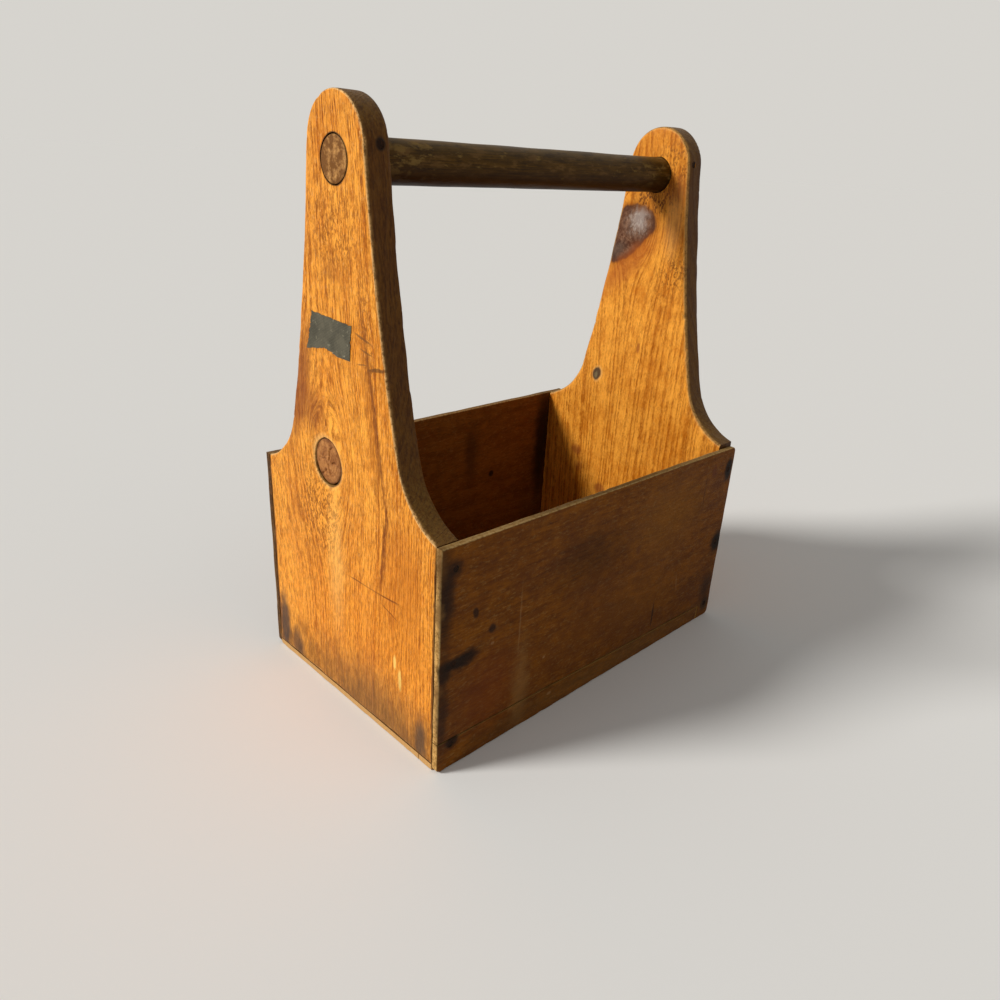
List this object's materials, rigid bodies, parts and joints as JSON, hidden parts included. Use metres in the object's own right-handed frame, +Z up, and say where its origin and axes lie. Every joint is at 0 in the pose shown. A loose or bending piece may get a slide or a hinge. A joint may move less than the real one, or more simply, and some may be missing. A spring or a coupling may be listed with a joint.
{
  "type": "open wooden tool tote",
  "caption": "Open wooden carpenter's tote: an oblong nailed box with tall shaped end boards that carry a round dowel handle.",
  "frame": {"origin": "centre of the footprint, on the ground plane under the box", "axes": "+X along the handle, from the left end board to the right one; +Y from the front side board to the back one; +Z up, along the end boards"},
  "size_m": [0.3123, 0.197, 0.391],
  "materials": {
    "end_board_pine": "aged orange pine, old oil finish worn thin, straight grain up the board",
    "side_board_pine": "aged brown pine, handled and grimy, grain along the board, black iron stains at the nails",
    "floor_pine": "bare brown pine, dusty, grain along the board",
    "handle_wood": "dark hardwood dowel, old varnish worn in patches",
    "knot_wood": "dead knot, red-brown, cracked from its heart",
    "cloth_tape": "grey-olive cloth tape, pressed flat and scuffed",
    "iron_nails": "old iron, dull brown-black rust"
  },
  "bodies": {
    "root": {"left_end_board": "end_board_pine", "right_end_board": "end_board_pine", "front_side_board": "side_board_pine", "front_split_strip": "side_board_pine", "back_side_board": "side_board_pine", "floor_board": "floor_pine", "floor_strip": "floor_pine", "carrying_handle": "handle_wood", "loose_knot": "knot_wood", "tape_patch": "cloth_tape", "front_left_nails": "iron_nails", "back_left_nails": "iron_nails", "front_right_nails": "iron_nails", "back_right_nails": "iron_nails", "left_floor_nails": "iron_nails", "right_floor_nails": "iron_nails", "left_handle_nail": "iron_nails", "right_handle_nail": "iron_nails"}
  },
  "joints": []
}
